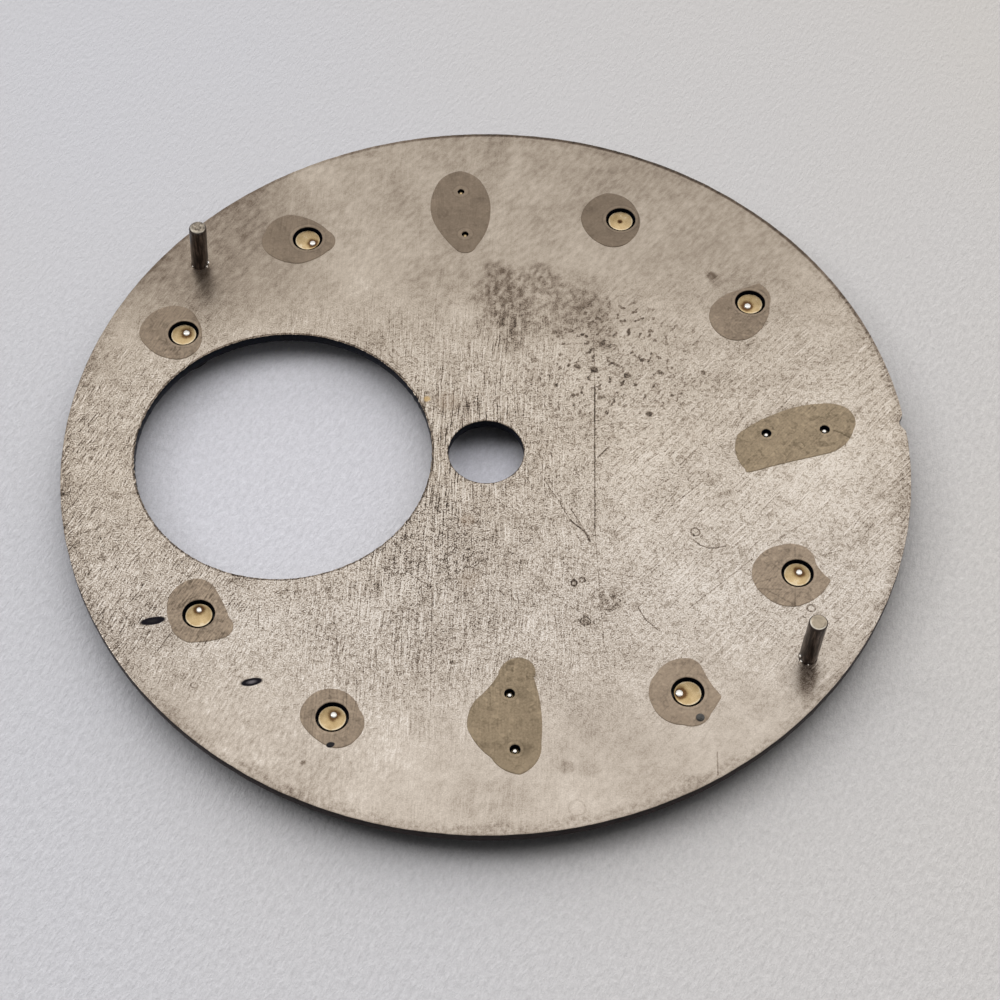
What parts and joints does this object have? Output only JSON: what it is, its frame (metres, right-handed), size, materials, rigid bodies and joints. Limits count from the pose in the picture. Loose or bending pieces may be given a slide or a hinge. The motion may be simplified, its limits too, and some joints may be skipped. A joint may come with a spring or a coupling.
{
  "type": "open-heart watch dial",
  "caption": "Round watch dial with a centre bore, an off-centre balance opening, two dial feet and glued applied hour markers with luminous filling.",
  "frame": {"origin": "axis of the centre bore, on the back face that seats on the movement", "axes": "+X towards 3 o'clock, +Y towards 6 o'clock, +Z out of the back, along the dial feet"},
  "size_m": [0.0284, 0.0284, 0.0031],
  "materials": {
    "plate": "nickel-plated stamped brass, worn matt on the back, dark lacquer on the front, rim and holes",
    "foot": "plated pin, tarnished, with a bright cut end",
    "marker": "turned and gold-plated, polished",
    "lume": "pale matt luminous compound",
    "glue": "thin dried clear-brown adhesive"
  },
  "bodies": {
    "root": {"dial_plate": "plate", "dial_foot_minute_08": "foot", "dial_foot_minute_38": "foot", "round_index_01": "marker", "round_index_02": "marker", "round_index_04": "marker", "round_index_05": "marker", "round_index_07": "marker", "round_index_08": "marker", "round_index_10": "marker", "round_index_11": "marker", "bar_index_03": "marker", "bar_index_06": "marker", "bar_index_12": "marker", "lume_01": "lume", "lume_02": "lume", "lume_03": "lume", "lume_04": "lume", "lume_05": "lume", "lume_06": "lume", "lume_07": "lume", "lume_08": "lume", "lume_10": "lume", "lume_11": "lume", "lume_12": "lume", "adhesive_01": "glue", "adhesive_02": "glue", "adhesive_03": "glue", "adhesive_04": "glue", "adhesive_05": "glue", "adhesive_06": "glue", "adhesive_07": "glue", "adhesive_08": "glue", "adhesive_10": "glue", "adhesive_11": "glue", "adhesive_12": "glue"}
  },
  "joints": []
}
